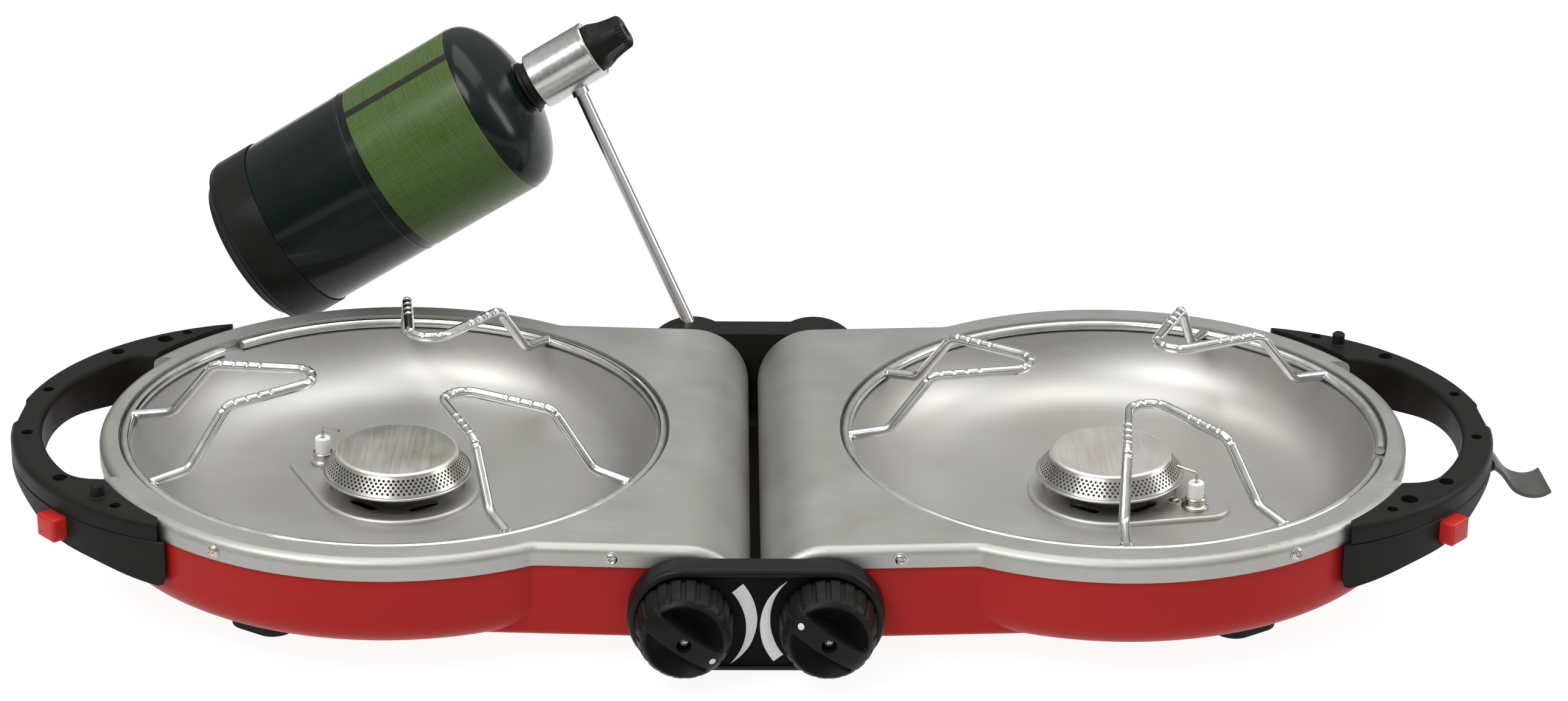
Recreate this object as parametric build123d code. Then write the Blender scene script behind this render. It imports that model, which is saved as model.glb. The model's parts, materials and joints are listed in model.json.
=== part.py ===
"""Two-burner fold-up camp stove, shown open, with its gas supply.

Row frame, millimetres: the origin is on the floor under the hinge, +X runs
to the right-hand burner, +Y to the back, +Z up.  Each half is drawn level
in its own frame, with x measured outward from the mid-plane, then tilted
about its fold axis and mirrored onto its own side.
"""
import os
from math import acos, cos, hypot, radians, sin, tan

from build123d import *

# ---------------------------------------------------------------- dimensions
TOP = 63.0            # height of the steel top when level
AX, AZ = 33.5, 32.0   # fold axis, which is also the knob axis
OPEN_TILT = 1.5       # rise of each open half toward its outer end, degrees
BX = 182.0            # burner centre, outward from the mid-plane
CASE_R = 153.0        # round part of the case
CASE_W = 132.5        # half-width of the straight part by the hinge
EDGE_R = 31.0         # rounded inner edge, concentric with the fold axis
SKIRT = 10.5          # depth of the steel skirt
SHEET = 1.0           # sheet thickness
HOLE_R = 138.0        # opening for the burner bowl
RECESS_R, RECESS_W = 147.3, 72.0   # outer end, cut back behind the finger hole
SHELL_Z = 14.0        # underside of the red shell
SHELL_R = 17.0        # its rounded bottom edge
LEDGE_Z = 57.3        # ledge that carries the grate ring
FLOOR_Z = 25.0        # top of the bowl floor
RING_R, WIRE_R = 134.6, 2.65
LOOP_TOP = 91.5       # height of the pan support wires' centres
HANDLE_R, HANDLE_X = 125.0, 248.5
HANDLE_TOP, HANDLE_SPLIT, HANDLE_BOT = 63.8, 53.0, 29.0
FINGER_R, FINGER_W = 109.5, 74.0   # finger hole: radius and half-width
PIVOT_R = 9.0         # hinge trunnions, with 0.05 mm running clearance
KNOB_R = 23.4
PANEL_Y = -146.5      # front of the control panel
REAR_Y = 158.0        # back of the rear block
SUPPLY_Y = 205.0      # vertical plane of the regulator and the cylinder
SUPPLY_ANGLE = 31.5   # rise of the cylinder's axis, degrees
REG_END = (-88.5, 198.4)   # x, z of the regulator's outer end
CYL_R = 49.75

C, LO = Align.CENTER, Align.MIN


# ------------------------------------------------------------------- helpers
def box(x0, x1, y0, y1, z0, z1):
    return Pos((x0 + x1) / 2, (y0 + y1) / 2, (z0 + z1) / 2) * Box(
        x1 - x0, y1 - y0, z1 - z0)


def disc(x, y, z0, z1, r):
    return Pos(x, y, z0) * Cylinder(r, z1 - z0, align=(C, C, LO))


def rod(a, b, r):
    """Straight cylinder of radius r from point a to point b."""
    a, b = Vector(*a), Vector(*b)
    return Plane(a, z_dir=b - a) * Cylinder(r, (b - a).length, align=(C, C, LO))


def along_y(x, z, y0, y1, r):
    return rod((x, y0, z), (x, y1, z), r)


def turned(points, x=0.0, y=0.0):
    """Solid of revolution about the vertical line at x, y; points are (r, z)."""
    face = make_face(Polyline(*[(r, 0, z) for r, z in points], close=True))
    return Pos(x, y, 0) * revolve(face, Axis.Z)


def bent_tube(points, r):
    body = rod(points[0], points[1], r)
    for a, b in zip(points[1:-1], points[2:]):
        body += Pos(*a) * Sphere(r) + rod(a, b, r)
    return body


def rounded_path(points, radii):
    """Polyline through 3-D points with an arc of the given radius at each corner."""
    pts = [Vector(*p) for p in points]
    edges, last = [], pts[0]
    for p, before, after, r in zip(pts[1:-1], pts[:-2], pts[2:], radii):
        u, v = (before - p).normalized(), (after - p).normalized()
        half = acos(max(-1.0, min(1.0, u.dot(v)))) / 2
        reach = r / tan(half)
        start, end = p + u * reach, p + v * reach
        middle = p + (u + v).normalized() * (r / sin(half) - r)
        edges += [Line(last, start), ThreePointArc(start, middle, end)]
        last = end
    return Wire(edges + [Line(last, pts[-1])])


def polar(r, angle, x=BX, y=0.0):
    return x + r * cos(radians(angle)), y + r * sin(radians(angle))


def place(body, side, tilt=OPEN_TILT):
    """Tilt a level, outward-facing body about its fold axis and put it on its side."""
    body = body.rotate(Axis((AX, 0, AZ), (0, 1, 0)), -tilt)
    return body if side > 0 else mirror(body, about=Plane.YZ)


# ----------------------------------------------------------------- the halves
def recess(grow, z0, z1):
    """What is cut from the round end behind the finger hole."""
    w = RECESS_W + grow
    return (disc(BX, 0, z0, z1, 200) - disc(BX, 0, z0, z1, RECESS_R - grow)
            ) & box(BX, 400, -w, w, z0, z1)


SCREWS = [(68.4, -CASE_W, -90.0), (68.4, CASE_W, 90.0)] + [
    (*polar(CASE_R, a), a) for a in (-62.0, 62.0)]
SCREW_Z = 57.0


def screw_shank(x, y, angle, r, depth_in, depth_out):
    dx, dy = cos(radians(angle)), sin(radians(angle))
    return rod((x - dx * depth_in, y - dy * depth_in, SCREW_Z),
               (x + dx * depth_out, y + dy * depth_out, SCREW_Z), r)


def cover():
    def envelope(grow, low, low_edge):
        r, w, e, top = CASE_R - grow, CASE_W - grow, EDGE_R - grow, TOP - grow
        straight = box(AX, BX, -w, w, low, top)
        edge = along_y(AX, AZ, -w, w, e) & box(AX - e, AX, -w, w, low_edge, top)
        round_part = disc(BX, 0, low, top, r) & box(AX, 400, -200, 200, low, top)
        body = straight + round_part + edge
        notch = [s for s in body.edges().filter_by(Axis.Z)
                 if 90 < s.center().X < 120]
        body = fillet(notch, 8.0 - grow)
        rim = [s for s in body.edges() if s.center().Z > top - 0.01
               and not (s.geom_type == GeomType.LINE
                        and abs(s.center().Y) < w - 1 and s.center().X < 90)]
        rim += [s for s in body.edges().filter_by(GeomType.CIRCLE)
                if abs(s.radius - e) < 0.01 and abs(abs(s.center().Y) - w) < 0.01]
        body = fillet(rim, 4.5 - grow)
        w = RECESS_W + grow
        end = disc(BX, 0, low, top, RECESS_R - grow)
        end = fillet(end.edges().filter_by(GeomType.CIRCLE).sort_by(Axis.Z)[-1],
                     4.5 - grow)
        return (body - box(BX, 400, -w, w, low - 1, top + 1)
                + (end & box(BX, 400, -w, w, low, top)))

    body = envelope(0.0, TOP - SKIRT, AZ) - envelope(SHEET, 20.0, 20.0)
    body -= box(0, AX + 6, -CASE_W - 1, -CASE_W + 1.1, AZ - 1, TOP - SKIRT)
    body -= box(0, AX + 6, CASE_W - 1.1, CASE_W + 1, AZ - 1, TOP - SKIRT)
    body -= box(AX, AX + 20, -CASE_W, CASE_W, 20, 50)
    body += disc(BX, 0, TOP - 4, TOP - SHEET / 2, HOLE_R + SHEET)
    body -= disc(BX, 0, TOP - 5, TOP + 1, HOLE_R)
    for x, y, a in SCREWS:
        body -= screw_shank(x, y, a, 1.55, 4, 2)
    return body


def shell():
    low, high, w, r = SHELL_Z, 58.4, CASE_W - 1.2, CASE_R - 1.2
    step = AZ - 0.2

    def tub(grow, z0, z1):
        round_part = disc(BX, 0, z0, z1, r - grow)
        round_part = fillet(round_part.edges().sort_by(Axis.Z)[0], SHELL_R - grow)
        round_part &= box(AX, 400, -200, 200, z0, z1)
        round_part -= recess(grow + 1.2, z0 - 1, z1 + 1)
        straight = box(AX, BX, -w + grow, w - grow, z0, z1)
        straight = fillet([e for e in straight.edges().filter_by(Axis.X)
                           if e.center().Z < z0 + 1], 4.0 - grow)
        straight += along_y(AX, AZ, -w + grow, w - grow, EDGE_R - grow) & box(
            0, AX, -w + grow, w - grow, z0, step)
        return straight + round_part

    ends = along_y(AX, AZ, -w, w, EDGE_R - 4.8) & box(0, AX, -w, w, step, high)
    body = tub(0.0, low, high) + ends - tub(SHEET, low + SHEET, high + 5)
    body -= box(0, AX + 1, -w + SHEET, w - SHEET, step, high + 5)
    body -= along_y(AX, AZ, -w - 2, w + 2, PIVOT_R + 0.05)
    for x, y, a in SCREWS:
        body -= screw_shank(x, y, a, 1.55, 4, 2)
    return body


def skirt_screws():
    parts = []
    for x, y, a in SCREWS:
        head = screw_shank(x, y, a, 2.8, -0.05, 1.7)
        parts.append(fillet([e for e in head.edges().filter_by(GeomType.CIRCLE)
                             if hypot(e.center().X - BX, e.center().Y)
                             > hypot(x - BX, y) + 0.4], 0.8)
                     + screw_shank(x, y, a, 1.5, 3.5, 1.0))
    return Compound(parts)


def air_slots(z0, z1, grow=0.0):
    slots = []
    for a in (-125.0, -55.0, 55.0, 125.0):
        x, y = polar(25.5, a)
        slots.append(Pos(x, y, (z0 + z1) / 2) * Rot(0, 0, a + 90)
                     * extrude(SlotOverall(17 + grow, 6 + grow),
                               (z1 - z0) / 2, both=True))
    return slots


def bowl():
    t = 0.8
    ctrl = [(131.5, LEDGE_Z), (127.5, 41.0), (119.0, FLOOR_Z), (92.0, FLOOR_Z)]
    top, under = [], []
    for k in range(9):
        s = k / 8
        q = [(1 - s) ** 3, 3 * s * (1 - s) ** 2, 3 * s * s * (1 - s), s ** 3]
        d = [-3 * (1 - s) ** 2, 3 * (1 - s) ** 2 - 6 * s * (1 - s),
             6 * s * (1 - s) - 3 * s * s, 3 * s * s]
        r, z = (sum(a * p[i] for a, p in zip(q, ctrl)) for i in (0, 1))
        dr, dz = (sum(a * p[i] for a, p in zip(d, ctrl)) for i in (0, 1))
        n = hypot(dr, dz)
        top.append((r, 0, z))
        under.append((r - dz / n * t, 0, z + dr / n * t))
    step = [(145, 58.8), (137.7, 58.8), (137.7, LEDGE_Z)]
    edges = [Polyline(*[(r, 0, z) for r, z in step], top[0]), Spline(*top),
             Polyline(top[-1], (12, 0, FLOOR_Z), (12, 0, FLOOR_Z - t), under[-1]),
             Spline(*under[::-1]),
             Polyline(under[0], (132, 0, LEDGE_Z - t), (138.5, 0, LEDGE_Z - t),
                      (138.5, 0, 58.0), (145, 0, 58.0), (145, 0, 58.8))]
    face = make_face([e for part in edges for e in part.edges()])
    body = Pos(BX, 0, 0) * revolve(face, Axis.Z)
    for slot in air_slots(20, 27, 0.6):
        body -= slot
    return body


def lobe(r, tip_r, reach, z0, z1, angle):
    """Disc with a tapered lobe, the plan shape of the burner's base plate."""
    phi = acos((r - tip_r) / reach)
    web = make_face(Polyline(
        (r * cos(phi), r * sin(phi)), (reach + tip_r * cos(phi), tip_r * sin(phi)),
        (reach + tip_r * cos(phi), -tip_r * sin(phi)), (r * cos(phi), -r * sin(phi)),
        close=True))
    plan = Circle(r) + Pos(reach, 0) * Circle(tip_r) + web
    return Pos(BX, 0, z0) * Rot(0, 0, angle) * extrude(plan, z1 - z0)


def burner_base(angle):
    body = lobe(42.0, 12.0, 52.0, FLOOR_Z, FLOOR_Z + 2.4, angle)
    body = fillet(body.faces().sort_by(Axis.Z)[-1].edges(), 1.6)
    body -= disc(BX, 0, FLOOR_Z + 1.0, FLOOR_Z + 4, 34.0)
    body -= disc(BX, 0, FLOOR_Z - 1, FLOOR_Z + 4, 9.3)
    for slot in air_slots(20, 30):
        body -= slot
    return body


def burner_cup():
    return turned([(9, 26.1), (15, 26.1), (15, 28.6), (24, 29.2), (35, 35.4),
                   (37.8, 36.2), (37.8, 37.2), (34.8, 36.6), (23.6, 30.3),
                   (9, 29.7)], BX)


def burner_screen():
    return turned([(37.0, 37.4), (30.9, 46.2), (30.0, 46.2), (36.0, 37.4)], BX)


def burner_cap():
    return turned([(0, 46.3), (31.0, 46.3), (31.0, 47.0), (30.1, 47.6), (0, 47.6)], BX)


def mixer_tube():
    path = rounded_path([(36, -118, 32), (46, -108, 22), (60, -95, 20.2),
                         (BX, 0, 20.2)], [12, 12])
    tube = sweep(Plane(path @ 0, z_dir=path % 0) * Circle(3.2), path=path)
    return tube + disc(BX, 0, 16.4, 27.8, 8.8)


def electrode(angle):
    x, y = polar(47.8, angle)
    ceramic = disc(x, y, 27.5, 44.0, 4.0)
    clip = disc(x, y, 27.45, 29.4, 6.4) + disc(x, y, 27.45, 33.4, 5.3)
    clip -= disc(x, y, 27, 34, 4.05)
    tip = polar(37.0, angle)
    wire = bent_tube([(x, y, 44.0), (x, y, 49.0), (*tip, 48.3)], 0.7)
    return ceramic, clip, wire


def grate(angles, gap):
    ring = Rot(0, 0, gap + 2.5) * revolve(
        Plane.XZ * Pos(RING_R, 0) * Circle(WIRE_R), Axis.Z, 355.0)
    body = Pos(0, 0, LEDGE_Z + WIRE_R) * ring
    for a in angles:
        side = []
        for s in (-1, 1):
            end, low = (polar(r, 17.5 * s, 0.0) for r in (RING_R - 1.2, 113.5))
            side.append([(*end, 61.0), (*low, 63.4), (88.0, 25.5 * s, LOOP_TOP)])
        path = rounded_path(side[0] + [(23.0, 0, LOOP_TOP + 1)] + side[1][::-1],
                            [9, 9, 11, 9, 9])
        loop = sweep(Plane(path @ 0, z_dir=path % 0) * Circle(WIRE_R), path=path)
        body += Rot(0, 0, a) * loop
    return Pos(BX, 0, 0) * body


# --------------------------------------------------------------- the handles
BUTTON_DIR = (0.695, -0.719)    # way the igniter button faces, from HANDLE_X, 0
BUTTON_Z = 46.0
LATCH_Y0, LATCH_Y1 = -11.0, 15.0
LATCH_PIN = (372.0, 41.5)
HOOK_Z = 54.8                   # underside of the edge that the latch holds
HOLES = [(362.3, -25.9, 2.8), (362.3, 25.9, 2.8), (336.3, 75.7, 3.6),
         (336.3, -75.7, 3.6), (304.5, 104.1, 2.7), (304.5, -104.1, 2.7)]


def button_block(s0, s1, w, h):
    """Box along the button's axis, s0 to s1 from the handle's centre."""
    d = Vector(*BUTTON_DIR, 0)
    at = Vector(HANDLE_X, 0, BUTTON_Z) + d * ((s0 + s1) / 2)
    return Plane(at, x_dir=d, z_dir=(0, 0, 1)) * Box(s1 - s0, w, h)


def handle_bar(x0, z0, z1):
    """Plan of a handle beyond x0, with its finger hole, from z0 to z1."""
    plan = Pos(HANDLE_X, 0) * Circle(HANDLE_R)
    plan &= Pos(x0 + 75, 0) * Rectangle(150, 300)
    plan -= Pos(BX, 0) * Circle(CASE_R + 0.15)
    hole = Circle(FINGER_R) & Rectangle(300, 2 * FINGER_W)
    hole = fillet(hole.vertices().sort_by(Axis.X)[-2:], 19.0)
    plan -= Pos(HANDLE_X, 0) * hole
    return Pos(0, 0, z0) * extrude(plan, z1 - z0)


def outer_edges(body, z):
    return [e for e in body.edges().filter_by(GeomType.CIRCLE)
            if abs(e.center().Z - z) < 0.01 and abs(e.radius - HANDLE_R) < 0.1]


def handle_upper(side):
    body = handle_bar(282.5, HANDLE_SPLIT + 0.1, HANDLE_TOP)
    rims = [e for e in body.edges() if abs(e.center().Z - HANDLE_TOP) < 0.01
            and hypot(e.center().X - BX, e.center().Y) > CASE_R + 1.0
            and abs(e.center().X - 282.5) > 1.0]
    body = fillet([e for e in rims if e.geom_type == GeomType.CIRCLE
                   and abs(e.radius - HANDLE_R) < 0.1], 4.0)
    body = chamfer(outer_edges(body, HANDLE_SPLIT + 0.1), 0.6)
    body = fillet([e for e in body.edges() if abs(e.center().Z - HANDLE_TOP) < 0.01
                   and hypot(e.center().X - BX, e.center().Y) > CASE_R + 1.0
                   and hypot(e.center().X - HANDLE_X, e.center().Y) < 111.0], 3.0)
    body -= box(370.0, 380, LATCH_Y0 - 2, LATCH_Y1 + 2, 40, 70)
    if side < 0:   # the latch hooks in under this edge when folded
        body -= box(364.0, 380, LATCH_Y0 - 1, LATCH_Y1 + 1, 40.0, HOOK_Z)
    for x, y, r in HOLES:
        body -= disc(x, y, HANDLE_TOP - 8, HANDLE_TOP + 1, r)
    peg_y = 94.0 * side
    body -= disc(314.6, -peg_y, HANDLE_TOP - 9, HANDLE_TOP + 1, 4.2)
    peg = disc(314.6, peg_y, HANDLE_TOP - 2, HANDLE_TOP + 6.2, 3.3)
    return body + chamfer(peg.edges().sort_by(Axis.Z)[-1], 0.8)


def handle_lower(side):
    body = handle_bar(278.0, HANDLE_BOT - 2, HANDLE_SPLIT)
    low = HANDLE_BOT
    sweep_up = Spline((283, 0, low + 1.0), (297, 0, low + 3.0), (318, 0, low + 6.8),
                      (341, 0, low + 10.2), (352, 0, low + 15.2),
                      (362, 0, low + 19.2), (378, 0, low + 20.2))
    side_view = Polyline((378, 0, low + 20.2), (378, 0, 60), (279, 0, 60),
                         (279, 0, low + 5.0), (280.2, 0, low + 2.2), (283, 0, low + 1.0))
    side_view = make_face(sweep_up.edges() + side_view.edges())
    body &= extrude(side_view, 200, dir=(0, 1, 0), both=True)
    body = chamfer(outer_edges(body, HANDLE_SPLIT), 0.6)
    body -= box(370.0, 380, LATCH_Y0 - 2, LATCH_Y1 + 2, 20, 70)
    body -= button_block(107.5, 140.0, 14.2, 12.2)
    x, z = LATCH_PIN
    if side > 0:
        ears = (box(364, x, LATCH_Y0 - 2.9, LATCH_Y1 + 2.9, z - 4, HANDLE_SPLIT)
                + along_y(x, z, LATCH_Y0 - 2.9, LATCH_Y1 + 2.9, 4.0))
        body += ears
        body -= box(367.0, 380, LATCH_Y0 - 0.15, LATCH_Y1 + 0.15, z - 9, z + 13)
        body -= along_y(x, z, LATCH_Y0 - 1.6, LATCH_Y1 + 1.6, 1.6)
    else:
        body -= box(364.0, 380, LATCH_Y0 - 1, LATCH_Y1 + 1, 41.0, 70)
    return body


def latch():
    x, z = LATCH_PIN
    spine = [(0, 0), (5.5, -3.4), (11, -9.0), (15.5, -15.0), (22, -18.6),
             (29, -19.0), (34.5, -16.2)]
    top, under = [], []
    for k, (a, b) in enumerate(spine[1:], 1):
        p = spine[k - 1]
        q = spine[min(k + 1, len(spine) - 1)]
        n = hypot(q[0] - p[0], q[1] - p[1])
        nx, nz = -(q[1] - p[1]) / n, (q[0] - p[0]) / n
        top.append((x + a + nx, 0, z + b + nz))
        under.append((x + a - nx, 0, z + b - nz))
    edges = [Spline(*top), Line(top[-1], under[-1]), Spline(*under[::-1]),
             Polyline(under[0], (x - 0.6, 0, z - 2.4), (x + 0.6, 0, z + 2.6), top[0])]
    face = make_face([e for part in edges for e in part.edges()])
    body = Pos(0, LATCH_Y1, 0) * extrude(face, LATCH_Y1 - LATCH_Y0, dir=(0, -1, 0))
    body += along_y(x, z, LATCH_Y0, LATCH_Y1, 3.2)
    pin = along_y(x, z, LATCH_Y0 - 1.4, LATCH_Y1 + 1.4, 1.5)
    return body - along_y(x, z, LATCH_Y0 - 1, LATCH_Y1 + 1, 1.55), pin


def foot():
    """Oval rubber foot under the shell, later cut level with the floor."""
    x, y = polar(106.0, -58.0)
    return Pos(x, y, -12) * Rot(0, 0, 31) * extrude(
        SlotOverall(34, 21), SHELL_Z + 12)


def half(side):
    burner_angle, igniter_angle = (-28.0, -31.8) if side > 0 else (28.0, 31.0)
    loops, gap = ((44, 164, 284), -16) if side > 0 else ((-16, 104, 224), 44)
    ceramic, clip, wire = electrode(igniter_angle)
    nodes = {
        "cover": cover(), "shell": shell(), "skirt_screws": skirt_screws(),
        "bowl": bowl(), "burner_base": burner_base(burner_angle),
        "burner_cup": burner_cup(), "burner_screen": burner_screen(),
        "burner_cap": burner_cap(), "mixer_tube": mixer_tube(),
        "electrode": ceramic, "electrode_clip": clip, "electrode_wire": wire,
        "grate": grate(loops, gap), "handle_upper": handle_upper(side),
        "handle_lower": handle_lower(side),
        "igniter_button": button_block(114.0, 132.5, 14.0, 12.0),
        "piezo_unit": button_block(107.7, 110.4, 9.0, 9.0)}
    if side > 0:
        nodes["latch"], nodes["latch_pin"] = latch()
    nodes = {name: place(body, side) for name, body in nodes.items()}
    pad = foot()
    for name, body in (("foot_front", pad), ("foot_back", mirror(pad, about=Plane.XZ))):
        nodes[name] = place(body, side) & box(-400, 400, -200, 200, 0, 100)
    tail = "right" if side > 0 else "left"
    return {(name if name.startswith("latch") else f"{name}_{tail}"): body
            for name, body in nodes.items()}


# ---------------------------------------------------------------- the centre
def stadium(r, y0, y1):
    body = box(-AX, AX, y0, y1, AZ - r, AZ + r)
    return body + along_y(-AX, AZ, y0, y1, r) + along_y(AX, AZ, y0, y1, r)


def centre():
    panel = stadium(27.0, PANEL_Y, -134.0)
    panel = fillet(panel.faces().sort_by(Axis.Y)[0].edges(), 3.0)
    panel -= stadium(23.6, PANEL_Y - 1, PANEL_Y + 2.2)
    rear = stadium(26.0, 134.0, REAR_Y - 6)
    for x in (-AX, AX):
        dome = along_y(x, AZ, 134.0, REAR_Y, 28.5)
        rear += fillet(dome.edges().sort_by(Axis.Y)[-1], 6.0)
    rear += box(-26, 26, 134.0, 152.0, 0, 14)
    for x in (-AX, AX):
        panel += along_y(x, AZ, -135.0, -128.5, PIVOT_R)
        panel -= along_y(x, AZ, PANEL_Y - 1, -120, 6.05)
        rear += along_y(x, AZ, 128.5, 136.0, PIVOT_R)

    profile = make_face(Polyline((-14, 0, 0), (14, 0, 0), (14, 0, 5), (7, 0, 13),
                                 (-7, 0, 13), (-14, 0, 5), close=True))
    beam = Pos(0, 133.8, 0) * extrude(profile, 267.6, dir=(0, -1, 0))
    beam -= box(-3.2, 3.2, 111.0, 133.0, -1, 20)
    tube_hole = along_y(-9.5, 4.0, -140, 142, 2.35)
    rear -= tube_hole
    manifold = along_y(-9.5, 4.0, -133.9, 141.5, 2.3)

    face = stadium(23.5, PANEL_Y + 1.1, PANEL_Y + 2.1)
    nodes = {"front_panel": panel, "rear_block": rear, "base_beam": beam - tube_hole,
             "manifold_tube": manifold}
    for side, tail in ((-1, "left"), (1, "right")):
        x = AX * side
        face -= along_y(x, AZ, PANEL_Y - 1, PANEL_Y + 4, 6.6)
        nodes[f"valve_{tail}"] = (along_y(x, AZ, -145.5, -121.5, 6.0)
                                  + along_y(x, AZ, -160.0, -145.5, 3.0))
        nodes[f"knob_{tail}"] = knob(x)
    nodes["face_plate"] = face
    return nodes


def knob(x):
    """Fluted knob with a diagonal grip bar between two scoops; it faces -Y."""
    front = [(22.3, 11.0), (21.7, 13.6), (20.5, 16.0), (18.7, 18.0), (16.2, 19.8),
             (13.2, 21.1), (10.0, 21.9), (6.0, 22.4)]
    body = turned([(0, 0), (KNOB_R, 0), *front, (0, 22.5)])
    for k in range(20):
        px, py = polar(KNOB_R + 0.4, k * 18.0, 0.0)
        body -= Pos(px, py, 0) * Rot(0, 0, k * 18.0) * Rot(0, -11, 0) * disc(
            0, 0, -3, 13, 1.6)
    scoop = Pos(0, 0, 31.5) * Sphere(22.5)
    for s in (-1, 1):
        body -= scoop & box(-20, 20, *sorted((GRIP_HALF * s, 20 * s)), 8, 24)
    body -= disc(0, 0, 17, 23, 3.4)
    body -= disc(0, 0, -1, 14.0, 3.05)
    seat = Plane((x, PANEL_Y - 1.2, AZ), x_dir=(1, 0, 0), z_dir=(0, -1, 0))
    return seat * (Rot(0, 0, GRIP_ANGLE) * body)


GRIP_ANGLE, GRIP_HALF = -35.0, 5.3    # slope and half-width of the knobs' grip bars


# ------------------------------------------------------------ the gas supply
def supply():
    axis = Vector(cos(radians(SUPPLY_ANGLE)), 0, sin(radians(SUPPLY_ANGLE)))
    end = Vector(REG_END[0], SUPPLY_Y, REG_END[1])
    seat = Plane(end, x_dir=(0, 1, 0), z_dir=axis)

    def lathe(points):
        return seat * turned(points)

    pipe_top, pipe_low = end - axis * 17.0, Vector(-34.6, 146.5, 57.0)
    way = (pipe_low - pipe_top).normalized()
    regulator = seat * (disc(0, 0, -37, 0, 16.2))
    regulator = fillet(regulator.edges().filter_by(GeomType.CIRCLE), 1.2)
    regulator += rod(tuple(pipe_top + way * 12), tuple(pipe_top + way * 19.0), 4.8)
    regulator -= lathe([(0, -38), (13.2, -38), (13.2, -22), (0, -22)])
    regulator -= rod(tuple(pipe_top + way * 16.6), tuple(pipe_top + way * 30), 3.55)
    pipe = rod(tuple(pipe_top + way * 16.7), tuple(pipe_low), 3.5)
    cap = lathe([(0, 0.05), (13.6, 0.05), (13.6, 2.5), (11.0, 9.0), (10.4, 14.0),
                 (9.6, 20.0), (8.6, 21.0), (0, 21.0)])

    def can(r, low, shoulder, rise, neck):
        pts, n = [(0, low), (r - 6, low), (r, low + 6), (r, shoulder)], 12
        for k in range(1, n + 1):
            a = radians(k * 90.0 / n)
            if r * cos(a) > neck:
                pts.append((r * cos(a), shoulder + rise * sin(a)))
        top = shoulder + rise * (1 - (neck / r) ** 2) ** 0.5
        return lathe(pts + [(neck, top), (0, top)])

    cylinder = can(CYL_R, -221.4, -66, 23.5, 13) - can(CYL_R - 1.2, -220.2, -66, 22.3, 12)
    valve = lathe([(0, -43.2), (12.6, -43.2), (12.6, -26.5), (9.0, -24.5), (0, -24.5)])
    band = lathe([(CYL_R + 0.03, -132.0), (CYL_R + 0.25, -132.0),
                  (CYL_R + 0.25, -66.0), (CYL_R + 0.03, -66.0)])
    boot = lathe([(0, -224.2), (40, -224.2), (40, -227.4), (43.4, -227.4),
                  (44.4, -222.6), (CYL_R + 0.9, -218.8), (CYL_R + 0.9, -197.2),
                  (CYL_R + 0.05, -197.2), (CYL_R + 0.05, -221.5), (0, -221.5)])
    return {"regulator": regulator, "regulator_cap": cap, "supply_pipe": pipe,
            "cylinder": cylinder, "cylinder_valve": valve, "cylinder_band": band,
            "cylinder_foot": boot}, rod(tuple(pipe_low), tuple(pipe_top), 3.55)


# -------------------------------------------------------------------- export
def build():
    nodes = {**half(-1), **half(1), **centre()}
    gas, pipe_hole = supply()
    nodes["rear_block"] -= pipe_hole
    nodes.update(gas)
    return nodes


os.makedirs("parts", exist_ok=True)
for name, body in build().items():
    body.label = name
    export_step(body, f"parts/{name}.step")
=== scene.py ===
import json
import math

import bmesh
import bpy
from mathutils import Matrix, Vector, noise


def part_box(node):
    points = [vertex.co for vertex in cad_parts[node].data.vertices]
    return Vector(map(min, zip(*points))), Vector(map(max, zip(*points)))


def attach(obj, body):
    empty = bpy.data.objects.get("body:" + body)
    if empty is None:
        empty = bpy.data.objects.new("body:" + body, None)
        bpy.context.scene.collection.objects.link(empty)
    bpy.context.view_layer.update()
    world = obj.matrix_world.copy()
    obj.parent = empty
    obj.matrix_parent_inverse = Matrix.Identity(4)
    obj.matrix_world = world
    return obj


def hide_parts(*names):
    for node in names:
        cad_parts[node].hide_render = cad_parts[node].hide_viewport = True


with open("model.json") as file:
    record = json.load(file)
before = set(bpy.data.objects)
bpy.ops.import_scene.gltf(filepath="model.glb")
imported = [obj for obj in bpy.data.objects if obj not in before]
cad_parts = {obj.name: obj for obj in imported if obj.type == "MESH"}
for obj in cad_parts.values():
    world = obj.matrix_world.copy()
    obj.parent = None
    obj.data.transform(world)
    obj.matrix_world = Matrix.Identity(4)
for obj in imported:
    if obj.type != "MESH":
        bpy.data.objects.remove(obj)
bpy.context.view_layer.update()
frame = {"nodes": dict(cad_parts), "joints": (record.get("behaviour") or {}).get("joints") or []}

MM = 0.001
TAU = 2 * math.pi
JOINTS = {j["name"]: j for j in frame["joints"]}

# --------------------------------------------------- places taken from the CAD
AX, AZ = (JOINTS["fold_right"]["pos_m"][i] / MM for i in (0, 2))
OPEN_TILT = math.radians(1.5)
BX = 182.0                      # burner centre, outward, with the half level
RING_R, WIRE_R, LEDGE_Z, LOOP_TOP = 134.6, 2.65, 57.3, 91.5
CASE_R, CASE_W, SCREW_Z = 153.0, 132.5, 57.0
PANEL_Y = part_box("front_panel")[0].y / MM
LIFT = Vector(JOINTS["cylinder_unscrew"]["axis"]).normalized()


def half_frame(side):
    """Millimetres in a level, outward-facing half to metres in the row frame."""
    c, s = math.cos(OPEN_TILT), math.sin(OPEN_TILT)
    turn = Matrix(((c, 0, -s, 0), (0, 1, 0, 0), (s, 0, c, 0), (0, 0, 0, 1)))
    about = Matrix.Translation((AX, 0, AZ))
    flip = Matrix.Diagonal((side, 1, 1, 1))
    return Matrix.Scale(MM, 4) @ flip @ about @ turn @ about.inverted()


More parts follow.
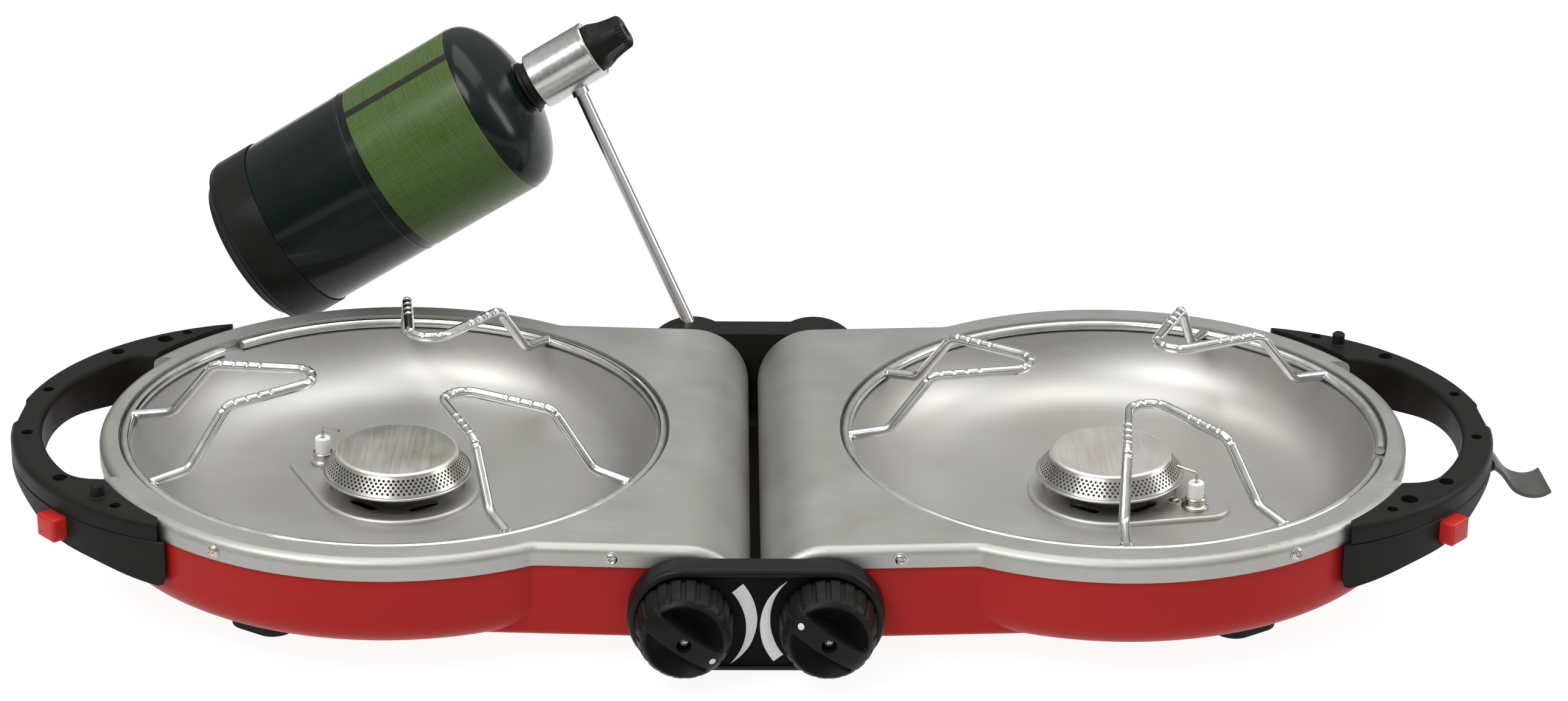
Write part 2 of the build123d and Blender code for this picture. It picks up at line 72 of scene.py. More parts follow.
def axes(origin, x, z):
    """Frame in millimetres with the given x and z directions, to metres."""
    x, z = Vector(x).normalized(), Vector(z).normalized()
    x = (x - z * x.dot(z)).normalized()
    m = Matrix((x, z.cross(x), z)).transposed().to_4x4()
    return Matrix.Scale(MM, 4) @ Matrix.Translation(origin) @ m


def polar(r, angle, x=0.0, y=0.0):
    """Point at radius r and angle, in degrees, about (x, y)."""
    a = math.radians(angle)
    return x + r * math.cos(a), y + r * math.sin(a)


# ------------------------------------------------------------------ mesh tools
def rounded(points, radii, n=6):
    """Corners of an open line, in 2-D or 3-D, replaced by arcs of n steps."""
    pts = [Vector(p) for p in points]
    if isinstance(radii, (int, float)):
        radii = [radii] * (len(pts) - 2)
    out = [pts[0]]
    for p, a, b, r in zip(pts[1:-1], pts[:-2], pts[2:], radii):
        u, v = (a - p).normalized(), (b - p).normalized()
        half = math.acos(max(-1.0, min(1.0, u.dot(v)))) / 2
        if r <= 0 or half > 1.55:
            out.append(p)
            continue
        reach = r / math.tan(half)
        mid = (u + v).normalized()
        centre = p + mid * (r / math.sin(half))
        s, e = p + u * reach - centre, p + v * reach - centre
        turn = math.pi - 2 * half
        for k in range(n + 1):
            t = k / n * turn
            out.append(centre + (s * math.sin(turn - t) + e * math.sin(t))
                       / math.sin(turn))
    return out + [pts[-1]]


def resample(points, step):
    """Points about step apart along a line, as (point, distance)."""
    out, run = [(points[0], 0.0)], 0.0
    for a, b in zip(points[:-1], points[1:]):
        d = (b - a).length
        k = max(1, int(math.ceil(d / step)))
        for i in range(1, k + 1):
            out.append((a.lerp(b, i / k), run + d * i / k))
        run += d
    return out


def lathe(profile, n=96, start=0.0, sweep=TAU, closed=False):
    """Turns (r, z) points about z. Returns vertices, faces."""
    verts, faces, rows = [], [], []
    whole = abs(sweep - TAU) < 1e-6
    cols = n if whole else n + 1
    for r, z in profile:
        if r < 1e-6:
            rows.append([len(verts)] * cols)
            verts.append((0, 0, z))
        else:
            rows.append(list(range(len(verts), len(verts) + cols)))
            for k in range(cols):
                a = start + sweep * k / n
                verts.append((r * math.cos(a), r * math.sin(a), z))
    pairs = list(zip(rows[:-1], rows[1:])) + ([(rows[-1], rows[0])] if closed else [])
    for lo, hi in pairs:
        for k in range(n):
            j = (k + 1) % cols
            f = [lo[k], lo[j], hi[j], hi[k]]
            f = [v for i, v in enumerate(f) if v != f[i - 1]]
            if len(f) > 2:
                faces.append(f)
    return verts, faces


def bands(count, n):
    """Faces between count rows of n points each."""
    return [[i * n + k, i * n + (k + 1) % n, (i + 1) * n + (k + 1) % n, (i + 1) * n + k]
            for i in range(count - 1) for k in range(n)]


def tube(line, radius, n=18):
    """Tube along (point, distance) pairs; radius is a number or f(distance, normal)."""
    verts = []
    last = None
    count = len(line)
    for i, (p, s) in enumerate(line):
        a, b = line[max(0, i - 1)][0], line[min(count - 1, i + 1)][0]
        t = (b - a).normalized()
        if last is None:
            side = t.cross(Vector((0, 0, 1)))
            if side.length < 1e-3:
                side = t.cross(Vector((1, 0, 0)))
            side.normalize()
        else:
            side = (last - t * last.dot(t)).normalized()
        last = side
        other = t.cross(side)
        for k in range(n):
            w = TAU * k / n
            d = side * math.cos(w) + other * math.sin(w)
            r = radius(s, d) if callable(radius) else radius
            verts.append(p + d * r)
    faces = bands(count, n)
    for row in (0, count - 1):
        faces.append([row * n + k for k in range(n)])
    return verts, faces


def plate(outline, z0, z1, edge=0.0, steps=3):
    """Prism on a 2-D outline, with its top edge rounded over by edge."""
    pts = [Vector(p) for p in outline]
    n = len(pts)
    normals = []
    for i in range(n):
        a, b = pts[i - 1], pts[(i + 1) % n]
        t = (b - a).normalized()
        normals.append(Vector((t.y, -t.x)))
    area = sum(pts[i - 1].x * pts[i].y - pts[i].x * pts[i - 1].y for i in range(n))
    s = 1 if area > 0 else -1
    rows = [(0.0, z0)]
    if edge > 0:
        for k in range(steps + 1):
            a = math.pi / 2 * k / steps
            rows.append((edge * (1 - math.cos(a)), z1 - edge * (1 - math.sin(a))))
    else:
        rows.append((0.0, z1))
    verts = []
    for inset, z in rows:
        for p, m in zip(pts, normals):
            q = p - m * (inset * s)
            verts.append((q.x, q.y, z))
    faces = bands(len(rows), n)
    faces.append(list(range(n)))
    faces.append([(len(rows) - 1) * n + k for k in range(n)])
    return verts, faces


def join(*parts):
    """Several (vertices, faces) as one."""
    verts, faces = [], []
    for v, f in parts:
        faces += [[i + len(verts) for i in face] for face in f]
        verts += list(v)
    return verts, faces


def moved(part, matrix):
    """(vertices, faces) with its points put through a matrix."""
    return [matrix @ Vector(v) for v in part[0]], part[1]


def piece(name, part, material, body, matrix=None, sharp=32, replaces=(),
          weld=2e-6, uv=None):
    """A finished object: mesh, shading, material, body and what it replaces."""
    mesh = bpy.data.meshes.new(name)
    mesh.from_pydata([Vector(v) for v in part[0]], [], part[1])
    if uv is not None:
        layer = mesh.uv_layers.new(name="UVMap")
        for loop in mesh.loops:
            layer.data[loop.index].uv = uv(Vector(part[0][loop.vertex_index]))
    if matrix is not None:
        mesh.transform(matrix)
    work = bmesh.new()
    work.from_mesh(mesh)
    if weld:
        bmesh.ops.remove_doubles(work, verts=work.verts, dist=weld)
    bmesh.ops.recalc_face_normals(work, faces=work.faces)
    work.to_mesh(mesh)
    work.free()
    for poly in mesh.polygons:
        poly.use_smooth = True
    mesh.set_sharp_from_angle(angle=math.radians(sharp))
    mesh.materials.append(material)
    obj = bpy.data.objects.new(name, mesh)
    bpy.context.scene.collection.objects.link(obj)
    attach(obj, body)
    if replaces:
        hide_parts(*replaces)
    return obj


# ------------------------------------------------------------------- materials
class Shader:
    """A small helper that strings shader nodes together."""

    def __init__(self, name, color, metallic=0.0, rough=0.5, specular=0.5):
        self.mat = bpy.data.materials.new(name)
        self.mat.use_nodes = True
        self.tree = self.mat.node_tree
        self.bsdf = self.tree.nodes["Principled BSDF"]
        self.color = color
        self.set("Base Color", (*color, 1))
        self.set("Metallic", metallic)
        self.set("Roughness", rough)
        self.set("Specular IOR Level", specular)
        self.height = []

    def set(self, key, value):
        self.bsdf.inputs[key].default_value = value

    def node(self, kind, **inputs):
        made = self.tree.nodes.new(kind)
        for key, value in inputs.items():
            if key in made.inputs:
                made.inputs[key].default_value = value
            else:
                setattr(made, key, value)
        return made

    def link(self, a, b):
        self.tree.links.new(a, b)

    def place(self, scale=(1, 1, 1), source="Object", turn=(0, 0, 0)):
        coord = self.node("ShaderNodeTexCoord")
        mapping = self.node("ShaderNodeMapping", Scale=scale, Rotation=turn)
        self.link(coord.outputs[source], mapping.inputs["Vector"])
        return mapping.outputs["Vector"]

    def noise(self, scale, detail=4.0, rough=0.55, stretch=(1, 1, 1), source="Object",
              turn=(0, 0, 0)):
        made = self.node("ShaderNodeTexNoise", Scale=scale, Detail=detail,
                         Roughness=rough)
        self.link(self.place(stretch, source, turn), made.inputs["Vector"])
        return made.outputs["Fac"]

    def remap(self, value, low, high, frm=(0.3, 0.7)):
        made = self.node("ShaderNodeMapRange", **{"From Min": frm[0],
                         "From Max": frm[1], "To Min": low, "To Max": high})
        self.link(value, made.inputs["Value"])
        return made.outputs["Result"]

    def math(self, kind, a, b):
        made = self.node("ShaderNodeMath", operation=kind)
        for i, v in enumerate((a, b)):
            if isinstance(v, (int, float)):
                made.inputs[i].default_value = v
            else:
                self.link(v, made.inputs[i])
        return made.outputs[0]

    def mix(self, fac, a, b):
        made = self.node("ShaderNodeMix", data_type="RGBA")
        for i, v in ((0, fac), (6, a), (7, b)):
            if isinstance(v, tuple):
                made.inputs[i].default_value = (*v, 1)
            elif isinstance(v, (int, float)):
                made.inputs[i].default_value = v
            else:
                self.link(v, made.inputs[i])
        return made.outputs[2]

    def tint(self, fac, dark=0.85, light=1.12, warm=0.0):
        """Colour varied from dark to light times the base."""
        a = tuple(c * dark * (1 + warm * w) for c, w in zip(self.color, (1, 0, -1)))
        b = tuple(min(1, c * light * (1 - warm * w))
                  for c, w in zip(self.color, (1, 0, -1)))
        return self.mix(fac, a, b)

    def paint(self, color_out):
        self.link(color_out, self.bsdf.inputs["Base Color"])

    def gloss(self, value):
        self.link(value, self.bsdf.inputs["Roughness"])

    def bump(self, value, depth):
        """Adds a height, in metres."""
        self.height.append(self.math("MULTIPLY", value, depth))

    def done(self):
        if self.height:
            total = self.height[0]
            for h in self.height[1:]:
                total = self.math("ADD", total, h)
            bump = self.node("ShaderNodeBump", Strength=1.0, Distance=1.0)
            self.link(total, bump.inputs["Height"])
            self.link(bump.outputs["Normal"], self.bsdf.inputs["Normal"])
        return self.mat


def steel(name, color, rough=(0.34, 0.46), grain=(40, 1200, 400), turn=0.0,
          mottle=30.0, depth=1.2e-5, tint=(0.9, 1.08), warm=0.03, fine=0.9e-5):
    """Brushed sheet metal: long streaks, broad mottling and a fine pebbled grain."""
    s = Shader(name, color, metallic=1.0)
    streak = s.noise(1.0, 3, 0.6, stretch=grain, turn=(0, 0, turn))
    broad = s.noise(mottle, 3, 0.5)
    pebble = s.noise(2600, 2, 0.5)
    mixed = s.math("ADD", s.math("MULTIPLY", streak, 0.45),
                   s.math("MULTIPLY", broad, 0.55))
    s.paint(s.tint(s.remap(mixed, 0, 1), *tint, warm=warm))
    s.gloss(s.remap(mixed, *rough))
    s.bump(streak, depth)
    s.bump(pebble, fine)
    return s.done()


def polished(name, color, rough=(0.08, 0.2), smear=90.0, depth=6e-6, tint=(0.82, 1.05)):
    """Bright wire or plating, with drawn lines and dull patches."""
    s = Shader(name, color, metallic=1.0)
    patch = s.noise(smear, 4, 0.6)
    fine = s.noise(900, 2, 0.5)
    s.paint(s.tint(s.remap(patch, 0, 1), *tint, warm=0.02))
    s.gloss(s.remap(patch, *rough))
    s.bump(fine, depth)
    return s.done()


def plastic(name, color, rough=(0.38, 0.52), specular=0.3, grain=1500, depth=2.2e-5,
            broad=1.2e-4, tint=(0.8, 1.25), specks=0.0):
    """Moulded plastic: spark-eroded grain, slight sinks and handling marks."""
    s = Shader(name, color, specular=specular)
    fine = s.noise(grain, 3, 0.6)
    rub = s.noise(45, 4, 0.6)
    sink = s.noise(14, 2, 0.5)
    s.gloss(s.remap(rub, *rough))
    tone = s.tint(s.remap(rub, 0, 1), *tint)
    if specks:
        dust = s.node("ShaderNodeTexVoronoi", Scale=260.0)
        s.link(s.place(), dust.inputs["Vector"])
        spot = s.remap(dust.outputs["Distance"], specks, 0.0, frm=(0.0, 0.045))
        tone = s.mix(spot, tone, (0.35, 0.35, 0.33))
    s.paint(tone)
    s.bump(fine, depth)
    s.bump(sink, broad)
    return s.done()


def paint_coat(name, color, rough=(0.32, 0.44), specular=0.35):
    """Powder-coated sheet: orange peel, soft clouding, tiny bits in the coat."""
    s = Shader(name, color, specular=specular)
    peel = s.noise(620, 2, 0.5)
    cloud = s.noise(9, 3, 0.5)
    bits = s.node("ShaderNodeTexVoronoi", Scale=420.0)
    s.link(s.place(), bits.inputs["Vector"])
    s.paint(s.tint(s.remap(cloud, 0, 1), 0.93, 1.08, warm=0.03))
    s.gloss(s.remap(cloud, *rough))
    s.bump(peel, 2.6e-5)
    s.bump(s.remap(bits.outputs["Distance"], 1.0, 0.0, frm=(0.0, 0.05)), 8e-6)
    return s.done()


TOP_STEEL = steel("top_steel", (0.42, 0.415, 0.39), rough=(0.46, 0.56))
BOWL_STEEL = steel("bowl_steel", (0.47, 0.46, 0.44), rough=(0.44, 0.53),
                   grain=(30, 900, 300), mottle=18, tint=(0.95, 1.05), depth=0.6e-5,
                   fine=0.4e-5)
BURNER_STEEL = steel("burner_steel", (0.5, 0.485, 0.455), rough=(0.24, 0.34),
                     grain=(60, 1500, 600), mottle=60, turn=0.5, fine=0.3e-5)
CAP_STEEL = steel("cap_steel", (0.8, 0.76, 0.7), rough=(0.3, 0.42),
                  grain=(700, 30, 400), mottle=45, turn=0.35, tint=(0.9, 1.06),
                  fine=0.2e-5)
SCREEN_STEEL = steel("screen_steel", (0.46, 0.45, 0.42), rough=(0.24, 0.34),
                     fine=0.2e-5)
CHROME = polished("chrome_wire", (0.72, 0.715, 0.7))
WELD = polished("weld_bead", (0.6, 0.59, 0.56), rough=(0.18, 0.4), depth=5e-5,
                smear=500)
SCREW_STEEL = polished("screw_nickel", (0.56, 0.53, 0.46), rough=(0.18, 0.32),
                       smear=300)
PIPE_STEEL = steel("pipe_steel", (0.58, 0.58, 0.575), rough=(0.16, 0.24),
                   grain=(1200, 1200, 60), fine=0.2e-5)
ALUMINIUM = steel("regulator_aluminium", (0.58, 0.575, 0.56), rough=(0.16, 0.28),
                  grain=(500, 90, 500), turn=0.0, mottle=35, tint=(0.8, 1.12),
                  fine=0.3e-5)
BRASS = polished("valve_brass", (0.5, 0.37, 0.17), rough=(0.2, 0.36), smear=200)
BLACK = plastic("black_plastic", (0.0095, 0.0095, 0.0085), rough=(0.42, 0.56),
                specular=0.12)
PANEL_BLACK = plastic("panel_black", (0.0075, 0.0075, 0.007), rough=(0.32, 0.44),
                      specular=0.14)
KNOB_BLACK = plastic("knob_black", (0.0062, 0.0062, 0.0055), rough=(0.36, 0.48),
                     specular=0.14, grain=1900)
FACE_BLACK = plastic("face_black", (0.005, 0.005, 0.0045), rough=(0.42, 0.5),
                     specular=0.05, grain=2400, depth=0.8e-5)
DARK_PART = plastic("dark_part", (0.016, 0.016, 0.016), rough=(0.5, 0.62))
BOOT_BLACK = plastic("boot_black", (0.008, 0.008, 0.0072), rough=(0.3, 0.42),
                     specular=0.14, grain=700, depth=0.8e-5)
LATCH_GREY = plastic("latch_grey", (0.07, 0.069, 0.064), rough=(0.42, 0.55),
                     specular=0.35)
RUBBER = plastic("foot_rubber", (0.012, 0.012, 0.012), rough=(0.6, 0.75),
                 specular=0.2, grain=900, depth=3e-5)
RED_BUTTON = plastic("red_button", (0.42, 0.016, 0.013), rough=(0.22, 0.3),
                     specular=0.2, grain=900, depth=4e-6, broad=3e-5,
                     tint=(0.93, 1.07))
RED_PAINT = paint_coat("red_paint", (0.34, 0.0155, 0.0135), specular=0.1)
CERAMIC = plastic("ceramic", (0.78, 0.775, 0.75), rough=(0.22, 0.34), specular=0.5,
                  grain=1600, depth=8e-6, broad=3e-5, tint=(0.93, 1.03))
MARK_WHITE = plastic("mark_white", (0.6, 0.61, 0.6), rough=(0.4, 0.5), specular=0.3,
                     grain=2200, depth=6e-6, broad=0, tint=(0.94, 1.04))


def green_enamel():
    """Glossy enamel of the gas cylinder, lightly scuffed along its length."""
    s = Shader("cylinder_green", (0.0022, 0.0066, 0.0054), rough=0.16, specular=0.18)
    s.set("Coat Weight", 0.09)
    s.set("Coat Roughness", 0.06)
    peel = s.noise(220, 3, 0.5)
    wear = s.noise(22, 5, 0.6)
    scuff = s.noise(1.0, 4, 0.65, stretch=(60, 300, 300), turn=(0, 0.55, 0))
    s.paint(s.tint(s.remap(wear, 0, 1), 0.8, 1.35))
    s.gloss(s.remap(s.math("ADD", s.math("MULTIPLY", wear, 0.6),
                           s.math("MULTIPLY", scuff, 0.4)), 0.14, 0.3))
    s.bump(peel, 1.6e-5)
    return s.done()


def label_film():
    """Printed film: linen lines and a dark strip along the can."""
    s = Shader("band_green", (0.05, 0.088, 0.018), rough=0.3, specular=0.3)
    coord = s.node("ShaderNodeUVMap")
    split = s.node("ShaderNodeSeparateXYZ")
    s.link(coord.outputs["UV"], split.inputs[0])
    u, v = split.outputs["X"], split.outputs["Y"]
    weave_u = s.math("SINE", s.math("MULTIPLY", u, TAU * 900), 0)
    weave_v = s.math("SINE", s.math("MULTIPLY", v, TAU * 620), 0)
    slub = s.noise(1.0, 3, 0.6, stretch=(60, 1400, 1), source="UV")
    slub2 = s.noise(1.0, 3, 0.6, stretch=(1600, 50, 1), source="UV")
    weave = s.math("ADD", s.math("MULTIPLY", weave_u, 0.16),
                   s.math("MULTIPLY", weave_v, 0.2))
    threads = s.math("ADD", s.math("MULTIPLY", slub, 1.0),
                     s.math("MULTIPLY", slub2, 0.8))
    fac = s.math("ADD", s.math("MULTIPLY", weave, 0.8), threads)
    cloth = s.tint(s.remap(fac, 0, 1, frm=(0.55, 1.25)), 0.62, 1.5, warm=0.08)

    def rule(value, centre, half, soft=2e-4):
        off = s.math("ABSOLUTE", s.math("SUBTRACT", value, centre), 0)
        return s.remap(off, 1.0, 0.0, frm=(half - soft, half + soft))

    strip = rule(u, 0.0, 0.0025)
    s.paint(s.mix(strip, cloth, (0.012, 0.013, 0.008)))
    s.gloss(s.remap(s.noise(30, 4, 0.6), 0.22, 0.34))
    s.bump(weave, 6e-6)
    return s.done()


GREEN = green_enamel()
LABEL = label_film()

SLOT_MATERIAL = {
    "stainless_top": TOP_STEEL, "bowl_steel": BOWL_STEEL, "red_paint": RED_PAINT,
    "burner_steel": BURNER_STEEL, "ceramic": CERAMIC, "wire_steel": SCREW_STEEL,
    "chrome_wire": CHROME, "black_plastic": BLACK, "face_black": FACE_BLACK,
    "red_button": RED_BUTTON, "dark_part": DARK_PART, "rubber": RUBBER,
    "brass": BRASS, "pipe_steel": PIPE_STEEL, "regulator_aluminium": ALUMINIUM,
    "cylinder_green": GREEN, "band_green": LABEL,
}
NODE_MATERIAL = {"front_panel": PANEL_BLACK, "latch": LATCH_GREY}
for name, node in frame["nodes"].items():
    for slot in node.material_slots:
        key = slot.material.name.split(".")[0]
        slot.material = NODE_MATERIAL.get(name, SLOT_MATERIAL[key])

# ------------------------------------------------------------- burner details
SCREEN_ROWS, SCREEN_HOLES, HOLE_R = 5, 82, 0.74
SCREEN_LOW, SCREEN_HIGH = Vector((36.55, 37.35)), Vector((30.5, 46.25))
SCREEN_SHEET, SCREEN_RIM = 0.45, 1.25
SPARK_R, CERAMIC_TOP = 47.8, 41.4          # electrode: from the burner centre, height
BASE_TOP = 27.45                           # top of the burner's base plate


def perforated_screen():
    """Conical band with rows of staggered round holes."""
    slope = SCREEN_HIGH - SCREEN_LOW
    length = slope.length
    inward = Vector((-slope.y, slope.x)).normalized() * SCREEN_SHEET
    first, pitch = SCREEN_RIM, (length - 2 * SCREEN_RIM) / SCREEN_ROWS
    verts, faces, index = [], [], {}

    def vertex(a, s, skin):
        key = (round(a % SCREEN_HOLES, 5), round(s, 5), skin)
        if key not in index:
            p = SCREEN_LOW + slope * (s / length) + inward * skin
            w = TAU * (a % SCREEN_HOLES) / SCREEN_HOLES
            index[key] = len(verts)
            verts.append((p.x * math.cos(w), p.x * math.sin(w), p.y))
        return index[key]

    around = [(-.5, -.5), (-.25, -.5), (0, -.5), (.25, -.5), (.5, -.5), (.5, 0),
              (.5, .5), (.25, .5), (0, .5), (-.25, .5), (-.5, .5), (-.5, 0)]
    ring = len(around)
    for row in range(SCREEN_ROWS):
        mid = first + pitch * (row + 0.5)
        radius = (SCREEN_LOW + slope * (mid / length)).x
        arc = TAU * radius / SCREEN_HOLES
        for k in range(SCREEN_HOLES):
            at = k + 0.5 * (row % 2)
            for skin in (0, 1):
                outer = [vertex(at + u, mid + v * pitch, skin) for u, v in around]
                hole = []
                for u, v in around:
                    w = math.atan2(v * pitch, u * arc)
                    hole.append(vertex(at + HOLE_R * math.cos(w) / arc,
                                       mid + HOLE_R * math.sin(w), skin))
                for i in range(ring):
                    j = (i + 1) % ring
                    faces.append([outer[i], outer[j], hole[j], hole[i]])
                if skin == 0:
                    front = hole
            for i in range(ring):
                j = (i + 1) % ring
                faces.append([front[i], front[j], hole[j], hole[i]])
    for skin in (0, 1):
        for s0, s1, row in ((0.0, first, 0),
                            (first + pitch * SCREEN_ROWS, length, SCREEN_ROWS)):
            for q in range(SCREEN_HOLES * 4):
                a, b = q / 4, (q + 1) / 4
                faces.append([vertex(a, s0, skin), vertex(b, s0, skin),
                              vertex(b, s1, skin), vertex(a, s1, skin)])
    for s in (0.0, length):
        for q in range(SCREEN_HOLES * 4):
            a, b = q / 4, (q + 1) / 4
            faces.append([vertex(a, s, 0), vertex(b, s, 0),
                          vertex(b, s, 1), vertex(a, s, 1)])
    return verts, faces


def profile(points, radii, n=6):
    """Rounded (r, z) outline for lathe."""
    return [(p.x, p.y) for p in rounded(points, radii, n)]


def burner_cap():
    """Pressed lid: flat top with a rolled-over edge."""
    points = [(0, 46.25), (30.4, 46.25), (30.9, 46.55), (30.5, 47.15), (29.4, 47.6),
              (12, 47.66), (0, 47.66)]
    return lathe(profile(points, [0.2, 0.25, 0.4, 0.9, 0]), 144)


def burner_cup():
    """Pressed dish with a rolled lip that carries the perforated band."""
    points = [(9, 26.1), (15, 26.1), (15, 28.6), (24, 29.2), (34.6, 35.0), (37.2, 35.7),
              (38.15, 36.5), (37.6, 37.3), (35.2, 37.2), (34.2, 36.4), (23.6, 30.4),
              (9, 29.7)]
    radii = [0.3, 1.0, 2.5, 3.0, 1.0, 0.55, 0.55, 0.8, 0.6, 2.0]
    return lathe(profile(points, radii), 144, closed=True)


def ceramic_body():
    """Glazed insulator, with a small recess round the wire."""
    points = [(0, 27.5), (4.0, 27.5), (4.0, CERAMIC_TOP), (1.2, CERAMIC_TOP),
              (1.2, CERAMIC_TOP - 0.8), (0, CERAMIC_TOP - 0.8)]
    return lathe(profile(points, [0.2, 0.8, 0.25, 0.1]), 48)


def electrode_collar():
    """Flanged collar with two turned grooves under a rolled top."""
    points = [(4.06, 27.45), (6.5, 27.45), (6.5, 28.9), (5.7, 29.3), (5.1, 29.8),
              (5.35, 30.3), (5.05, 30.8), (5.35, 31.3), (5.05, 31.8), (5.35, 32.3),
              (5.35, 33.0), (4.9, 33.5), (4.06, 33.5)]
    return lathe(profile(points, [0.3, 0.4, 0.3, 0.3, .2, .2, .2, .2, .2, .3, .2]),
                 48, closed=True)


def phillips(r, h):
    """Pan head seen from outside: dome of radius r and height h, cross recess."""
    slot, depth = r * 0.17, h * 0.75
    rings, n = 14, 64
    verts, faces, rows = [(0, 0, h - depth)], [], [[0] * n]
    for i in range(1, rings + 1):
        rr = r * i / rings
        row = []
        for k in range(n):
            a = TAU * k / n
            x, y = rr * math.cos(a), rr * math.sin(a)
            q = rr / r
            z = h * (1 - q ** 4 * 0.55)
            arm = min(abs(x), abs(y))
            reach = max(abs(x), abs(y))
            if reach < r * 0.62 and arm < slot * 1.6:
                side = max(0.0, min(1.0, (slot * 1.6 - arm) / (slot * 0.6)))
                end = max(0.0, min(1.0, (r * 0.62 - reach) / (r * 0.16)))
                z -= depth * side * end * (0.55 + 0.45 * (1 - reach / (r * 0.62)))
            row.append(len(verts))
            verts.append((x, y, z))
        rows.append(row)
    base = []
    for k in range(n):
        a = TAU * k / n
        base.append(len(verts))
        verts.append((r * math.cos(a), r * math.sin(a), 0))
    rows.append(base)
    for lo, hi in zip(rows[:-1], rows[1:]):
        for k in range(n):
            j = (k + 1) % n
            f = [lo[k], lo[j], hi[j], hi[k]]
            f = [v for i, v in enumerate(f) if v != f[i - 1]]
            faces.append(f)
    faces.append(base)
    return verts, faces


def facing(origin, direction, spin=0.0):
    """Local millimetre frame whose z is direction, turned by spin about it."""
    z = Vector(direction).normalized()
    x = z.cross(Vector((0, 0, 1)))
    if x.length < 1e-3:
        x = Vector((1, 0, 0))
    x.normalize()
    m = Matrix((x, z.cross(x), z)).transposed().to_4x4()
    return Matrix.Translation(origin) @ m @ Matrix.Rotation(spin, 4, "Z")


# -------------------------------------------------------------- pan supports
NOTCHES = [11.0, 17.6, 24.2, 30.8, 37.4]     # along each leg, from its outer bend
TIP_NOTCHES = [-7.5, 0.0, 7.5]
LEG_ANGLE = 17.5                             # half the angle between a loop's legs


def loop_line(angle):
    """Middle line of one support: up from the ring, in to a tip and back."""
    sides = []
    for s in (-1, 1):
        end = (*polar(RING_R - 1.2, LEG_ANGLE * s), 61.0)
        low = (*polar(113.5, LEG_ANGLE * s), 63.4)
        sides.append([end, low, (88.0, 25.5 * s, LOOP_TOP)])
    corners = sides[0] + [(23.0, 0, LOOP_TOP + 1)] + sides[1][::-1]
    turn = Matrix.Rotation(math.radians(angle), 4, "Z")
    return [turn @ p for p in rounded(corners, [9, 9, 11, 9, 9], 14)]


def grip_wire(angle):
    """One support: round wire with grooves pressed across its top."""
    line = resample(loop_line(angle), 0.5)
    tip = line[-1][1] / 2
    leg = 68.0                      # from the outer bend to the tip, along the wire
    marks = [tip + m for m in TIP_NOTCHES]
    for m in NOTCHES:
        marks += [tip - leg + m, tip + leg - m]

    def radius(s, d):
        if d.z < 0.1:
            return WIRE_R
        dip = max(math.exp(-((s - m) / 0.62) ** 2) for m in marks)
        lip = max(math.exp(-((abs(s - m) - 1.35) / 0.5) ** 2) for m in marks)
        face = min(1.0, (d.z - 0.1) / 0.5)
        return WIRE_R - (0.5 * dip - 0.1 * lip) * face

    return tube(line, radius, 22)


def weld_blob(at, size, seed):
    """Lumpy bead left by spot-welding a wire end to the ring."""
    verts, faces = lathe(profile([(0, -1), (0.7, -0.9), (1, 0), (0.7, 0.9), (0, 1)],
                                 [0.4, 0.5, 0.4], 5), 20)
    out = []
    for v in verts:
        v = Vector(v)
        push = 1 + 0.28 * noise.noise(v * 1.7 + Vector((seed * 9.1, 0, 0))) \
            + 0.14 * noise.noise(v * 5.0 + Vector((0, seed * 5.3, 0)))
        out.append(Vector((v.x * size[0], v.y * size[1], v.z * size[2])) * push)
    turn = Matrix.Rotation(math.atan2(at[1], at[0]), 4, "Z")
    return [turn @ v + Vector(at) for v in out], faces


def grate(angles, gap):
    """Split ring and three supports, and apart from them the weld beads."""
    a0, sweep = math.radians(gap + 2.5), math.radians(355.0)
    n = 260
    ring = [(Vector((RING_R * math.cos(a0 + sweep * k / n),
                     RING_R * math.sin(a0 + sweep * k / n), LEDGE_Z + WIRE_R)),
             RING_R * sweep * k / n) for k in range(n + 1)]
    length = ring[-1][1]

    def ends(s, d):
        left = min(s, length - s)
        return WIRE_R * (1 if left > 0.5 else 0.86 + 0.14 * left / 0.5)

    wires = [tube(ring, ends, 22)] + [grip_wire(a) for a in angles]
    beads = []
    for i, a in enumerate(angles):
        for s in (-1, 1):
            at = (*polar(RING_R - 2.9, a + LEG_ANGLE * s), LEDGE_Z + WIRE_R + 1.5)
            beads.append(weld_blob(at, (2.5, 3.1, 1.9), i * 2 + s))
    return join(*wires), join(*beads)


def burner_set(tail, burner, half):
    """Perforated band, lid and dish of one burner."""
    piece(f"burner_band_{tail}", perforated_screen(), SCREEN_STEEL, half,
          burner, sharp=40, replaces=["burner_screen_" + tail])
    piece(f"burner_lid_{tail}", burner_cap(), CAP_STEEL, half, burner,
          sharp=50, replaces=["burner_cap_" + tail])
    piece(f"burner_dish_{tail}", burner_cup(), BURNER_STEEL, half,
          burner, sharp=50, replaces=["burner_cup_" + tail])


